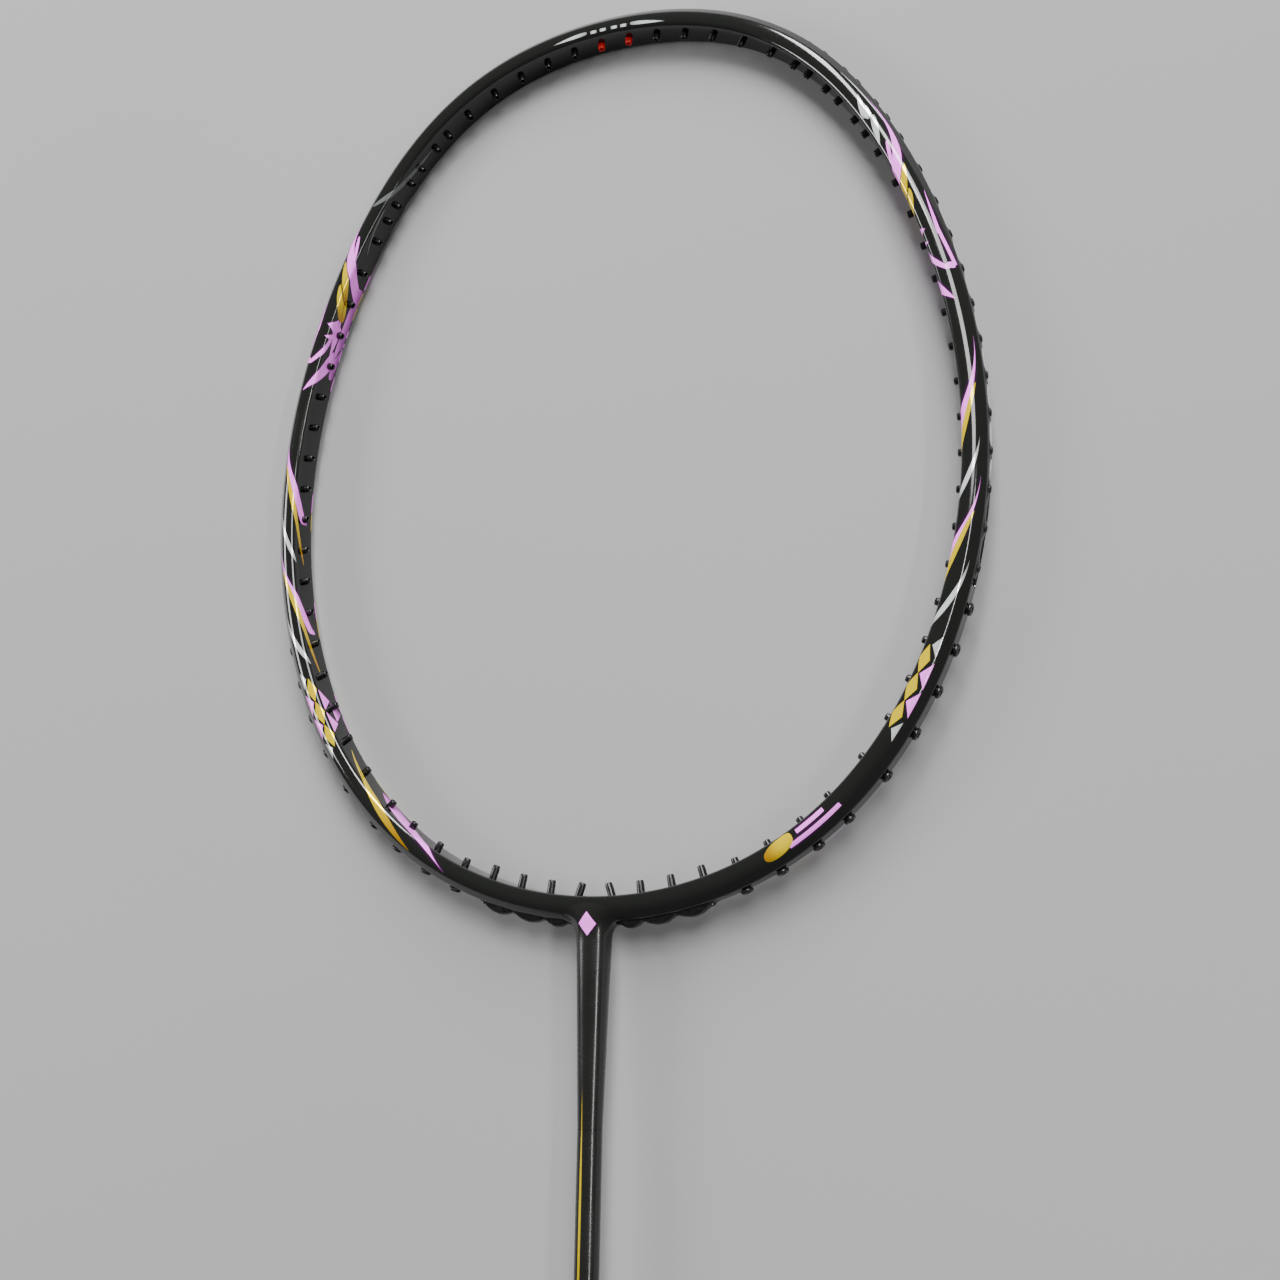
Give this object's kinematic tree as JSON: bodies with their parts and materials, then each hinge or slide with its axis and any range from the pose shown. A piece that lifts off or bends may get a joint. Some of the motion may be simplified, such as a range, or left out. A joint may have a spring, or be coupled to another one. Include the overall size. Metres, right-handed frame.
{
  "type": "badminton racket",
  "caption": "Unstrung badminton racket: egg-shaped hollow hoop lined with grommets, a moulded throat, slim round shaft and wrapped octagonal handle.",
  "frame": {"origin": "centre of the butt cap's flat end face, on the shaft's axis", "axes": "+Y up the shaft to the tip of the head, +Z out of the front of the string plane, +X to the right-hand side of the head; the racket lies on its back"},
  "size_m": [0.2106, 0.675, 0.0292],
  "materials": {
    "frame_lacquer": "clear gloss lacquer over black carbon composite, with printed pink, gold and silver marks",
    "bare_carbon": "bare carbon composite",
    "cap_plastic": "moulded black plastic",
    "handle_wood": "plain sanded wood",
    "grip": "padded synthetic grip tape with pinholes",
    "end_tape": "printed adhesive finishing tape",
    "grommet": "black nylon",
    "red_grommet": "red nylon"
  },
  "bodies": {
    "root": {"head_frame": "frame_lacquer", "throat": "frame_lacquer", "t_joint": "bare_carbon", "shaft": "frame_lacquer", "cone_cap": "cap_plastic", "handle_core": "handle_wood", "grip_wrap": "grip", "end_tape": "end_tape", "butt_cap": "cap_plastic", "grommet_red_left": "red_grommet", "grommet_strip_top_left": "grommet", "grommet_strip_shoulder_left": "grommet", "grommet_strip_side_left": "grommet", "grommet_26_left": "grommet", "grommet_27_left": "grommet", "grommet_28_left": "grommet", "grommet_29_left": "grommet", "grommet_30_left": "grommet", "grommet_31_left": "grommet", "grommet_32_left": "grommet", "grommet_33_left": "grommet", "grommet_34_left": "grommet", "grommet_strip_throat_left": "grommet", "grommet_red_right": "red_grommet", "grommet_strip_top_right": "grommet", "grommet_strip_shoulder_right": "grommet", "grommet_strip_side_right": "grommet", "grommet_26_right": "grommet", "grommet_27_right": "grommet", "grommet_28_right": "grommet", "grommet_29_right": "grommet", "grommet_30_right": "grommet", "grommet_31_right": "grommet", "grommet_32_right": "grommet", "grommet_33_right": "grommet", "grommet_34_right": "grommet", "grommet_strip_throat_right": "grommet"}
  },
  "joints": []
}
